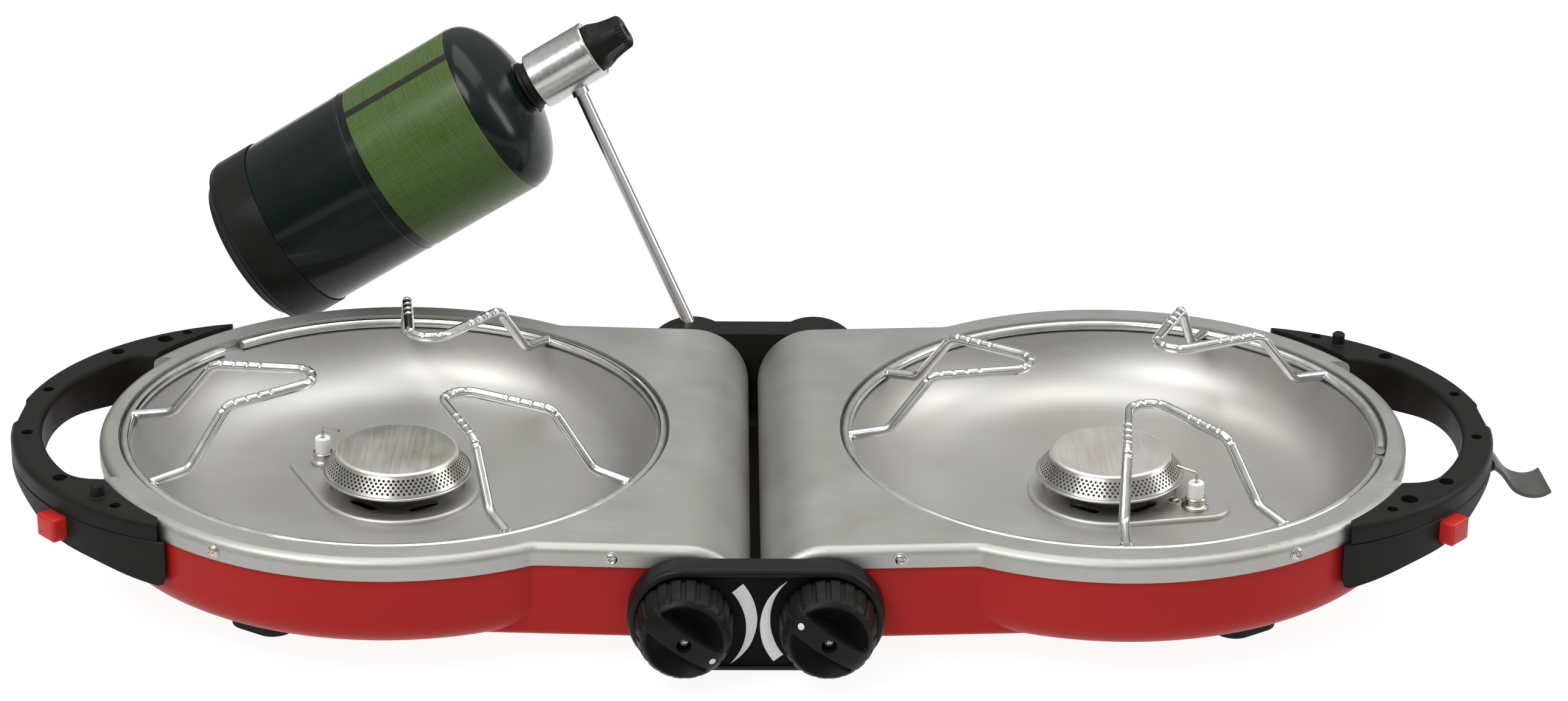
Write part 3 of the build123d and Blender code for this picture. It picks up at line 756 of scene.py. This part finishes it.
def electrode_set(tail, burner, half, angle):
    """Ceramic, collar, bent wire and the bracket that is screwed down beside them."""
    seat = burner @ Matrix.Translation((*polar(SPARK_R, angle), 0))
    piece(f"spark_ceramic_{tail}", ceramic_body(), CERAMIC, half, seat,
          replaces=["electrode_" + tail])
    piece(f"spark_collar_{tail}", electrode_collar(), SCREW_STEEL, half,
          seat, replaces=["electrode_clip_" + tail])
    x, y = polar(SPARK_R, angle)
    rod = rounded([(x, y, CERAMIC_TOP - 0.6), (x, y, CERAMIC_TOP + 5.2),
                   (*polar(37.0, angle), CERAMIC_TOP + 6.5)], [1.6], 8)
    piece(f"spark_wire_{tail}", tube(resample(rod, 1.0), 0.7, 16), SCREW_STEEL, half,
          burner, replaces=["electrode_wire_" + tail])
    foot = plate([(-3.4, -3.2), (4.2, -3.2), (4.2, 3.2), (-3.4, 3.2)],
                 BASE_TOP - 0.03, BASE_TOP + 1.05, 0.35)
    lip = plate([(4.2, -3.2), (5.1, -3.2), (5.1, 3.2), (4.2, 3.2)],
                BASE_TOP, BASE_TOP + 4.15, 0.3)
    fixing = moved(phillips(2.3, 1.5), Matrix.Translation((0, 0, BASE_TOP + 1.05)))
    turn = Matrix.Translation((*polar(36.4, angle), 0)) @ Matrix.Rotation(
        math.radians(angle), 4, "Z")
    piece(f"spark_bracket_{tail}", moved(join(foot, lip, fixing), turn),
          SCREW_STEEL, half, burner, sharp=28)


def skirt_screws(tail, level, half):
    """Screw heads and thin washers round the cover's skirt."""
    heads = []
    for x, y, a in SCREWS:
        dx, dy = polar(1.0, a)
        heads.append(moved(phillips(2.8, 1.6), facing(
            (x + dx * 0.1, y + dy * 0.1, SCREW_Z), (dx, dy, 0), 0.3 + a)))
        washer = lathe(profile([(1.2, 0), (3.5, 0), (3.4, 0.32), (1.2, 0.32)],
                               [0.1, 0.1]), 40, closed=True)
        heads.append(moved(washer, facing((x + dx * 0.02, y + dy * 0.02, SCREW_Z),
                                          (dx, dy, 0))))
    piece(f"skirt_screw_heads_{tail}", join(*heads), SCREW_STEEL, half,
          level, sharp=28, replaces=["skirt_screws_" + tail])


# side, angles of the grate's loops, angle of its gap, angle of the electrode
SIDES = {"left": (-1, (-16, 104, 224), 44, 31.0),
         "right": (1, (44, 164, 284), -16, -31.8)}
SCREWS = [(68.4, -CASE_W, -90.0), (68.4, CASE_W, 90.0)] + [
    (*polar(CASE_R, a, BX), a) for a in (-62.0, 62.0)]

for tail, (side, loops, gap, spark_angle) in SIDES.items():
    level = half_frame(side)
    burner = level @ Matrix.Translation((BX, 0, 0))
    half = "half_" + tail
    wires, beads = grate(loops, gap)
    piece(f"pan_support_{tail}", wires, CHROME, "grate_" + tail, burner,
          sharp=50, replaces=["grate_" + tail])
    piece(f"pan_support_welds_{tail}", beads, WELD, "grate_" + tail,
          burner, sharp=60)
    burner_set(tail, burner, half)
    electrode_set(tail, burner, half, spark_angle)
    skirt_screws(tail, level, half)

# ----------------------------------------------------------------------- knobs
GRIP_ANGLE, GRIP_HALF, KNOB_FACE = -35.0, 5.3, 22.3
WELL_R, WELL_FLOOR, WELL_SIDES = 3.4, 17.0, 48
KNOB_GAP = 1.2                  # between the knob's back and the panel
KNOB_FRONT = [(0, 22.5), (6, 22.4), (10, 21.9), (13.2, 21.1), (16.2, 19.8),
              (18.7, 18.0), (20.5, 16.0), (21.7, 13.6), (22.3, 11.0)]


def along(table, x):
    """Value at x in a table of (x, value), straight between its points."""
    for (a, p), (b, q) in zip(table[:-1], table[1:]):
        if x <= b:
            return p + (q - p) * (x - a) / (b - a)
    return table[-1][1]


def smooth(x, low, high):
    """0 below low, 1 above high, with a soft step between."""
    t = max(0.0, min(1.0, (x - low) / (high - low)))
    return t * t * (3 - 2 * t)


def flute(angle):
    """Depth of the grip flutes round the knob, 20 in a turn."""
    off = (math.degrees(angle) + 9.0) % 18.0 - 9.0
    return 0.95 * (smooth(-abs(off), -3.5, -2.0))


def knob_face(u, v):
    """Height of the knob's front: a dome, scooped out on both sides of the grip."""
    r = math.hypot(u, v)
    front = along(KNOB_FRONT, r)
    scoop = 31.5 - math.sqrt(22.5 ** 2 - min(r, 22.4) ** 2)
    low = min(front, scoop)
    blend = (front + scoop - math.sqrt((front - scoop) ** 2 + 0.5)) / 2
    low = blend if abs(front - scoop) < 2.5 else low
    return front + (min(front, low) - front) * smooth(abs(v), GRIP_HALF - 0.25,
                                                     GRIP_HALF + 0.75)


def knob_front(work):
    """Face of the knob, on a grid that is finer along the grip's edges."""
    rows = [math.radians(-90 + k) for k in range(181)]
    for edge in (GRIP_HALF - 0.25, GRIP_HALF, GRIP_HALF + 0.25, GRIP_HALF + 0.5,
                 GRIP_HALF + 0.75, GRIP_HALF + 1.0):
        for s in (-1, 1):
            rows.append(math.asin(s * edge / KNOB_FACE))
    rows.sort()
    cols = 80
    grid = []
    for phi in rows:
        line = []
        for i in range(cols + 1):
            psi = -math.pi / 2 + math.pi * i / cols
            u, v = KNOB_FACE * math.cos(phi) * math.sin(psi), KNOB_FACE * math.sin(phi)
            r = math.hypot(u, v)
            pull = flute(math.atan2(v, u)) * smooth(r, 19.8, 22.1)
            k = 1 - pull / max(r, 1.0)
            line.append(work.verts.new((u * k, v * k, knob_face(u, v))))
        grid.append(line)
    for a, b in zip(grid[:-1], grid[1:]):
        for i in range(cols):
            work.faces.new((a[i], a[i + 1], b[i + 1], b[i]))
    bmesh.ops.remove_doubles(work, verts=work.verts, dist=0.01)


def knob_well(work):
    """Round well in the middle of the face, down to the screw."""
    n = WELL_SIDES
    inner = [v for v in work.verts if math.hypot(v.co.x, v.co.y) < WELL_R + 0.45]
    bmesh.ops.delete(work, geom=inner, context="VERTS")
    rim = [e for e in work.edges if e.is_boundary
           and math.hypot(e.verts[0].co.x, e.verts[0].co.y) < 8]
    last = [work.verts.new((*polar(WELL_R + 0.25, 360 / n * k), 22.45))
            for k in range(n)]
    edges = [work.edges.new((last[k], last[(k + 1) % n])) for k in range(n)]
    bmesh.ops.triangle_fill(work, use_beauty=True, edges=rim + edges)
    for r, z in ((WELL_R, 22.1), (WELL_R - 0.05, 21.0), (WELL_R - 0.15, WELL_FLOOR)):
        row = [work.verts.new((*polar(r, 360 / n * k), z)) for k in range(n)]
        for k in range(n):
            j = (k + 1) % n
            work.faces.new((last[k], last[j], row[j], row[k]))
        last = row
    work.faces.new(last[::-1])


def knob_skirt(work):
    """Fluted side of the knob and its flat back."""
    skirt = [v for v in work.verts if math.hypot(v.co.x, v.co.y) > 20.0
             and any(e.is_boundary for e in v.link_edges)]
    skirt.sort(key=lambda v: math.atan2(v.co.y, v.co.x))
    last, n = skirt, len(skirt)
    for r, z in ((22.5, 8.6), (22.8, 5.6), (23.1, 2.6), (23.3, 0.7), (23.05, 0.1),
                 (3.2, 0.1)):
        row = []
        for v in skirt:
            w = math.atan2(v.co.y, v.co.x)
            q = r - flute(w) * (1.0 if r > 4 else 0.0)
            row.append(work.verts.new((q * math.cos(w), q * math.sin(w), z)))
        for k in range(n):
            j = (k + 1) % n
            work.faces.new((last[k], last[j], row[j], row[k]))
        last = row
    work.faces.new(last)


def knob():
    """Fluted skirt and domed face with a grip bar between two scoops."""
    work = bmesh.new()
    knob_front(work)
    knob_well(work)
    knob_skirt(work)
    work.verts.index_update()
    faces = [[v.index for v in f.verts] for f in work.faces]
    part = [v.co.copy() for v in work.verts], faces
    work.free()
    return part


KNOB = knob()
for tail, side in (("left", -1), ("right", 1)):
    seat = axes((AX * side, PANEL_Y - KNOB_GAP, AZ), (1, 0, 0), (0, -1, 0))
    turned = seat @ Matrix.Rotation(math.radians(GRIP_ANGLE), 4, "Z")
    body = "knob_" + tail
    piece(f"knob_moulding_{tail}", KNOB, KNOB_BLACK, body, turned,
          sharp=40, replaces=["knob_" + tail])
    dot = lathe(profile([(0, 0.28), (1.35, 0.24), (1.65, 0.05), (1.62, -0.5),
                         (0, -0.5)], [0.5, 0.15, 0.1]), 40)
    spot = facing((-16.0 * side, 0, 19.75), (-0.46 * side, 0, 0.89))
    piece(f"knob_dot_{tail}", moved(dot, spot), MARK_WHITE, body,
          turned)
    piece(f"knob_screw_{tail}", moved(phillips(2.9, 1.7), Matrix.Translation(
        (0, 0, WELL_FLOOR))), SCREW_STEEL, body, turned, sharp=28)

# ------------------------------------------------- crescents between the knobs
# Side, outer edge and inner edge, as (angle, radius) about the knob's axis.
CRESCENTS = {
    "left": (-1, [(-47.2, 31.2), (-24, 33.1), (2.6, 34), (20, 33.9), (35.8, 33.6)],
             [(-47.2, 31.2), (-27, 30.2), (-5.5, 28.9), (15, 27.6), (34.3, 26.7)]),
    "right": (1, [(132.3, 28.3), (158, 30.4), (185, 31.9), (203, 32.7), (220.3, 33.1)],
              [(132.3, 28.3), (155, 27.7), (177.7, 27), (199, 26.9), (220.5, 27.3)])}
for tail, (side, outer, inner) in CRESCENTS.items():
    outline = []
    for table, order in ((outer, 1), (inner, -1)):
        a0, a1 = table[0][0], table[-1][0]
        span = [a0 + (a1 - a0) * k / 32 for k in range(33)][::order]
        outline += [polar(along(table, a), a, AX * side) for a in span]
    seat = axes((0, PANEL_Y + 1.1, AZ), (1, 0, 0), (0, -1, 0))
    piece(f"flow_mark_{tail}", plate(outline[:-1], -0.4, 0.09, 0.04, 2),
          MARK_WHITE, "base", seat, sharp=50)

# -------------------------------------------------------------- gas and supply
REGULATOR_END = (-88.5, 205.0, 198.4)        # where the cap meets the regulator
SUPPLY = axes(REGULATOR_END, (0, 1, 0), -LIFT)
CAN_R, CAN_BASE, SHOULDER, NECK_R = 49.75, -221.3, -66.0, 17.0
BAND_R, BAND_LOW, BAND_HIGH, BAND_SEAM = 50.0, -131.9, -66.1, 118.5


def dome(r, shoulder, rise, neck, n=28):
    """Quarter of an ellipse from the shoulder in to the neck, as (r, z)."""
    out = []
    for k in range(1, n + 1):
        a = math.radians(k * 90.0 / n)
        if r * math.cos(a) > neck:
            out.append((r * math.cos(a), shoulder + rise * math.sin(a)))
    return out


def band_uv(p):
    """Distance round the band from its seam, and along it, in metres."""
    turn = (math.degrees(math.atan2(p.y, p.x)) - BAND_SEAM + 180.0) % 360.0 - 180.0
    return math.radians(turn) * BAND_R * MM, (p.z - BAND_LOW) * MM


def gas_cylinder():
    """Can with its step and dome, printed band, plastic boot and neck ring."""
    can = profile([(0, CAN_BASE), (CAN_R, CAN_BASE), (CAN_R, -138.4),
                   (CAN_R + 0.3, -138.0), (CAN_R + 0.3, -137.0), (CAN_R, -136.6),
                   (CAN_R, -100), (CAN_R, SHOULDER)],
                  [7, 0.2, 0.15, 0.15, 0.2, 0], 8)
    can += dome(CAN_R, SHOULDER, 23.5, NECK_R)
    can += profile([(NECK_R, -43.9), (15.2, -43.6), (14.2, -45.2), (13.0, -43.4),
                    (0, -43.3)], [0.8, 0.8, 0.5])
    piece("cylinder_shell", lathe(can, 160), GREEN, "gas_cylinder",
          SUPPLY, sharp=30, replaces=["cylinder"])
    band = profile([(BAND_R - 0.2, BAND_LOW), (BAND_R - 0.03, BAND_LOW),
                    (BAND_R, BAND_LOW + 0.4), (BAND_R, BAND_HIGH - 0.4),
                    (BAND_R - 0.03, BAND_HIGH), (BAND_R - 0.2, BAND_HIGH)],
                   [0.05] * 4, 2)
    band = lathe(band, 180, math.radians(BAND_SEAM + 180.02), TAU * 0.9999)
    piece("cylinder_label", band, LABEL, "gas_cylinder", SUPPLY,
          sharp=60, replaces=["cylinder_band"], uv=band_uv, weld=0)
    boot = profile([(0, -224.2), (39.9, -224.2), (39.9, -227.3), (42.6, -227.3),
                    (44.0, -223.4), (46.9, -222.9), (47.2, -220.6), (50.1, -219.9),
                    (50.6, -218.2), (50.6, -197.3), (49.85, -197.3),
                    (49.85, -221.4), (0, -221.4)],
                   [0.4, 0.5, 0.8, 0.8, 0.7, 0.7, 0.8, 1.0, 0.3, 0.2, 0.4])
    piece("cylinder_boot", lathe(boot, 160), BOOT_BLACK, "gas_cylinder",
          SUPPLY, replaces=["cylinder_foot"])
    ring = lathe(profile([(12.62, -43.1), (15.2, -43.0), (15.1, -41.2),
                          (13.9, -40.4), (13.6, -37.6), (12.62, -37.6)],
                         [0.3, 0.5, 0.4, 0.3]), 72, closed=True)
    piece("cylinder_neck_ring", moved(ring, Matrix.Diagonal((0.955, 0.955, 1, 1))),
          KNOB_BLACK, "gas_cylinder", SUPPLY)


def regulator_cap():
    """Black grip with three broad flutes, fine ribs and a dimple at its end."""
    outline = profile([(0, 0.06), (13.5, 0.06), (13.5, 3.2), (11.4, 9.0),
                       (10.4, 14.0), (9.7, 19.6), (8.4, 20.9), (0, 20.9)],
                      [0.3, 0.8, 4, 5, 1.2, 1.0], 6)
    rows, n = resample([Vector(p) for p in outline], 0.8), 144
    verts = []
    for p, _ in rows:
        for k in range(n):
            a = TAU * k / n
            lobe = 0.5 + 0.5 * math.cos(3 * a + 0.6)
            cut = 1.9 * smooth(lobe, 0.45, 1.0) * smooth(p.y, 3.0, 8.0) * smooth(
                p.x, 5.0, 8.5)
            cut += 0.45 * smooth(math.cos(30 * a), -0.2, 0.8) * smooth(
                p.y, 17.0, 18.0) * smooth(-p.y, -20.6, -19.9) * smooth(p.x, 7.6, 8.6)
            dimple = 1.1 * smooth(-p.x, -3.4, -2.9) if p.y > 20 else 0.0
            r = p.x - cut
            verts.append((r * math.cos(a), r * math.sin(a), p.y - dimple))
    return verts, bands(len(rows), n)


def regulator():
    """Grip and rolled rim on the end of the regulator."""
    piece("regulator_grip", regulator_cap(), KNOB_BLACK, "base",
          SUPPLY, sharp=50, replaces=["regulator_cap"])
    rim = lathe(profile([(13.9, -0.4), (15.0, 0.25), (16.0, 0.3), (16.35, -0.5),
                         (16.32, -2.2), (16.0, -2.6), (14.2, -2.0)],
                        [0.3, 0.4, 0.4, 0.5, 0.3, 0.2]), 120, closed=True)
    piece("regulator_rim", rim, ALUMINIUM, "base", SUPPLY,
          sharp=45)


gas_cylinder()
regulator()

# --------------------------------------------------------------------- handles
HOLES = [(362.3, -25.9, 2.8), (362.3, 25.9, 2.8), (336.3, 75.7, 3.6),
         (336.3, -75.7, 3.6), (304.5, 104.1, 2.7), (304.5, -104.1, 2.7)]
HANDLE_TOP, SCREW_DEPTH = 63.8, 7.95
HANDLE_X, BUTTON_Z = 248.5, 46.0            # middle of the handle's arc
BUTTON_DIR = Vector((0.695, -0.719, 0)).normalized()


def button_block():
    """Push button with softly rounded corners and a slightly crowned face."""
    w, h, s0, s1 = 13.9, 11.9, 114.1, 132.4
    verts, corners, n = [], [], 10
    for cx, cy, a0 in ((1, 1, 0), (-1, 1, 90), (-1, -1, 180), (1, -1, 270)):
        for k in range(n + 1):
            corners.append((cx, cy, math.radians(a0 + 90 * k / n)))
    edge = 1.5
    rows = [(s0, 0.0), (s1 - edge, 0.0)]
    for t in (15, 30, 45, 60, 75, 88):
        dx, dy = polar(edge, t)
        rows.append((s1 - edge + dy, edge - dx))
    for s, inset in rows:
        r = max(0.25, 1.6 - inset)
        for cx, cy, a in corners:
            x = cx * (w / 2 - inset - r) + r * math.cos(a)
            y = cy * (h / 2 - inset - r) + r * math.sin(a)
            verts.append((x, y, s))
    m = len(corners)
    faces = bands(len(rows), m)
    faces.append(list(range(m)))
    tip = len(verts)
    verts.append((0, 0, s1 + 0.05))
    for k in range(m):
        faces.append([(len(rows) - 1) * m + k, (len(rows) - 1) * m + (k + 1) % m, tip])
    return verts, faces


def igniter_button(tail, level):
    """The red button, standing out of the handle along its push direction."""
    z = Vector((0, 0, 1))
    turn = Matrix((z.cross(BUTTON_DIR), z, BUTTON_DIR)).transposed().to_4x4()
    at = Matrix.Translation((HANDLE_X, 0, BUTTON_Z)) @ turn
    piece(f"igniter_cap_{tail}", moved(button_block(), at), RED_BUTTON,
          "button_" + tail, level, sharp=50,
          replaces=["igniter_button_" + tail])


def handle_screws(tail, level):
    """Screw heads down in the handle's round holes."""
    heads = []
    for i, (x, y, r) in enumerate(HOLES):
        at = Matrix.Translation((x, y, HANDLE_TOP - SCREW_DEPTH))
        heads.append(moved(phillips(r * 0.9, 1.5),
                           at @ Matrix.Rotation(0.4 + i, 4, "Z")))
    piece(f"handle_screws_{tail}", join(*heads), SCREW_STEEL, "half_" + tail,
          level, sharp=28)


def locating_peg(tail, level, side):
    """Short peg on the handle's top, which meets the other handle when closed."""
    peg = lathe(profile([(0, 6.1), (2.9, 6.1), (3.25, 5.0), (3.25, 0.5), (4.2, 0.05),
                         (4.2, -0.4), (0, -0.4)], [1.1, 0.6, 0.5, 0.1, 0.1]), 48)
    piece(f"locating_peg_{tail}", moved(peg, Matrix.Translation(
        (314.6, 94.0 * side, HANDLE_TOP))), BLACK, "half_" + tail,
        level, sharp=40)


for tail, (side, *_) in SIDES.items():
    level = half_frame(side)
    igniter_button(tail, level)
    handle_screws(tail, level)
    locating_peg(tail, level, side)

# ----------------------------------------------------------- camera and stage
CAMERA_AT = Vector((-0.0134, -1.3999, 0.7177))
YAW, PITCH, ROLL = 0.019833, 0.411415, 0.011622
SENSOR, FOCAL = 36.0, 69.876
KEY_AIM = (0, 0, 0.05)


def add(obj):
    bpy.context.scene.collection.objects.link(obj)
    return obj


def studio_camera():
    """Camera a little above the stove, turned by yaw, pitch and a slight roll."""
    cam = bpy.data.cameras.new("camera")
    cam.sensor_width, cam.lens, cam.clip_end = SENSOR, FOCAL, 50
    forward = Vector((math.sin(YAW) * math.cos(PITCH), math.cos(YAW) * math.cos(PITCH),
                      -math.sin(PITCH)))
    right = Vector((math.cos(YAW), -math.sin(YAW), 0))
    up = right.cross(forward)
    right, up = (right * math.cos(ROLL) + up * math.sin(ROLL),
                 up * math.cos(ROLL) - right * math.sin(ROLL))
    camera = add(bpy.data.objects.new("camera", cam))
    camera.matrix_world = Matrix.Translation(CAMERA_AT) @ Matrix(
        (right, up, -forward)).transposed().to_4x4()
    bpy.context.scene.camera = camera
    bpy.context.scene.view_settings.view_transform = "Standard"


def studio_floor():
    """Wide disc of white paper, lit from within so that shadows stay pale."""
    verts, faces = lathe([(0, 0), (1.5, 0), (4.0, 0), (9.0, 0)], 64)
    mesh = bpy.data.meshes.new("floor")
    mesh.from_pydata(verts, [], faces)
    floor = add(bpy.data.objects.new("floor", mesh))
    floor.location.z = -0.0003
    paper = Shader("floor_paper", (0.13, 0.13, 0.13), rough=0.9, specular=0.0)
    paper.paint(paper.tint(paper.remap(paper.noise(3, 2), 0, 1), 0.995, 1.005))
    paper.set("Emission Color", (1, 1, 1, 1))
    paper.set("Emission Strength", 0.93)
    mesh.materials.append(paper.done())


def softbox(name, at, aim, size, watts):
    """Rectangular area light, size in metres."""
    data = bpy.data.lights.new(name, "AREA")
    data.shape = "RECTANGLE"
    data.size, data.size_y = size
    data.energy = watts
    lamp = add(bpy.data.objects.new(name, data))
    lamp.location = at
    lamp.rotation_mode = "QUATERNION"
    lamp.rotation_quaternion = (Vector(aim) - Vector(at)).to_track_quat("-Z", "Y")


def studio_sky():
    """Grey near the horizon, white overhead."""
    world = bpy.data.worlds.new("studio")
    world.use_nodes = True
    sky = world.node_tree
    coord = sky.nodes.new("ShaderNodeTexCoord")
    height = sky.nodes.new("ShaderNodeSeparateXYZ")
    ramp = sky.nodes.new("ShaderNodeValToRGB")
    sky.links.new(coord.outputs["Generated"], height.inputs[0])
    sky.links.new(height.outputs["Z"], ramp.inputs["Fac"])
    sky.links.new(ramp.outputs["Color"], sky.nodes["Background"].inputs["Color"])
    low, high = ramp.color_ramp.elements
    low.position, low.color = 0.05, (0.2, 0.2, 0.2, 1)
    high.position, high.color = 0.75, (0.95, 0.95, 0.94, 1)
    sky.nodes["Background"].inputs["Strength"].default_value = 0.8
    bpy.context.scene.world = world


studio_camera()
studio_floor()
softbox("key", (-0.9, -1.0, 1.7), KEY_AIM, (1.3, 0.9), 26)
softbox("top", (0.2, 0.5, 2.2), KEY_AIM, (2.2, 1.4), 22)
softbox("side", (1.7, 0.1, 1.0), (0.1, 0, 0.1), (0.5, 1.2), 12)
studio_sky()
